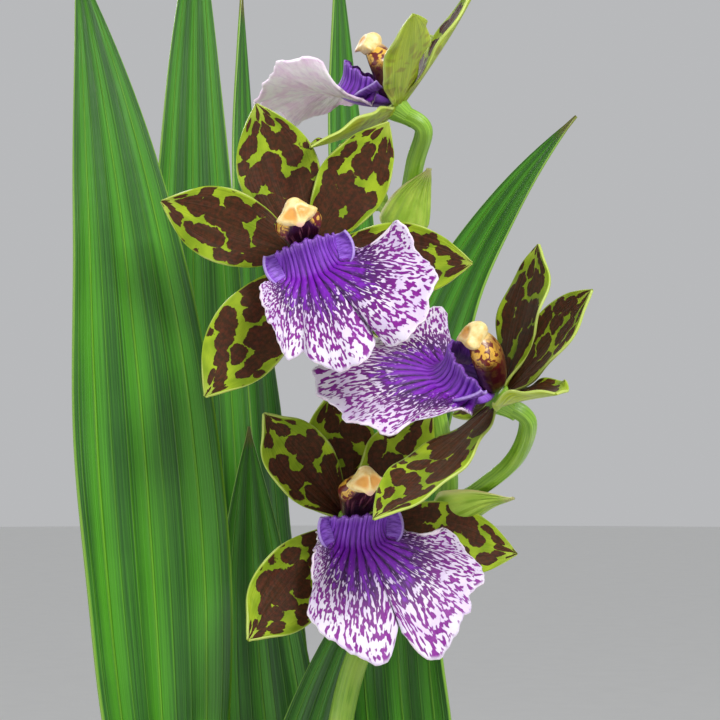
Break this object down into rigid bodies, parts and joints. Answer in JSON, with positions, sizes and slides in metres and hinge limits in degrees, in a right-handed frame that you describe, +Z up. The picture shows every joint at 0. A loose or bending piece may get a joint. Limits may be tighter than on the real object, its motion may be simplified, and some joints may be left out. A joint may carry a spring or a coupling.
{
  "type": "potted zygopetalum orchid",
  "caption": "Potted zygopetalum orchid in flower: clay pot of bark, ribbed pseudobulbs, long pleated leaves and a spike of blotched blooms with fan-shaped veined lips.",
  "frame": {"origin": "centre of the pot's base, on the surface it stands on", "axes": "+Z up, with the blooms facing mostly towards -Y"},
  "size_m": [0.3006, 0.2766, 0.505],
  "materials": {
    "terracotta": "matte fired clay",
    "bark": "rough bark chips",
    "bulb": "satin plant skin",
    "leaf": "satin plant skin",
    "stalk": "satin plant skin",
    "tepal": "waxy petal, green blotched with maroon",
    "lip": "velvety petal, white veined with violet",
    "column": "waxy, maroon",
    "cap": "waxy, cream"
  },
  "bodies": {
    "root": {"pot": "terracotta", "potting_bark": "bark", "pseudobulb_1": "bulb", "pseudobulb_2": "bulb", "pseudobulb_3": "bulb", "leaf_1": "leaf", "leaf_2": "leaf", "leaf_3": "leaf", "leaf_4": "leaf", "leaf_5": "leaf", "leaf_6": "leaf", "leaf_7": "leaf", "leaf_8": "leaf", "leaf_9": "leaf", "leaf_10": "leaf", "leaf_11": "leaf", "flower_spike": "stalk", "bloom_1_tepals": "tepal", "bloom_1_lip": "lip", "bloom_1_column": "column", "bloom_1_anther_cap": "cap", "bloom_2_tepals": "tepal", "bloom_2_lip": "lip", "bloom_2_column": "column", "bloom_2_anther_cap": "cap", "bloom_3_tepals": "tepal", "bloom_3_lip": "lip", "bloom_3_column": "column", "bloom_3_anther_cap": "cap", "bloom_4_tepals": "tepal", "bloom_4_lip": "lip", "bloom_4_column": "column", "bloom_4_anther_cap": "cap"}
  },
  "joints": []
}
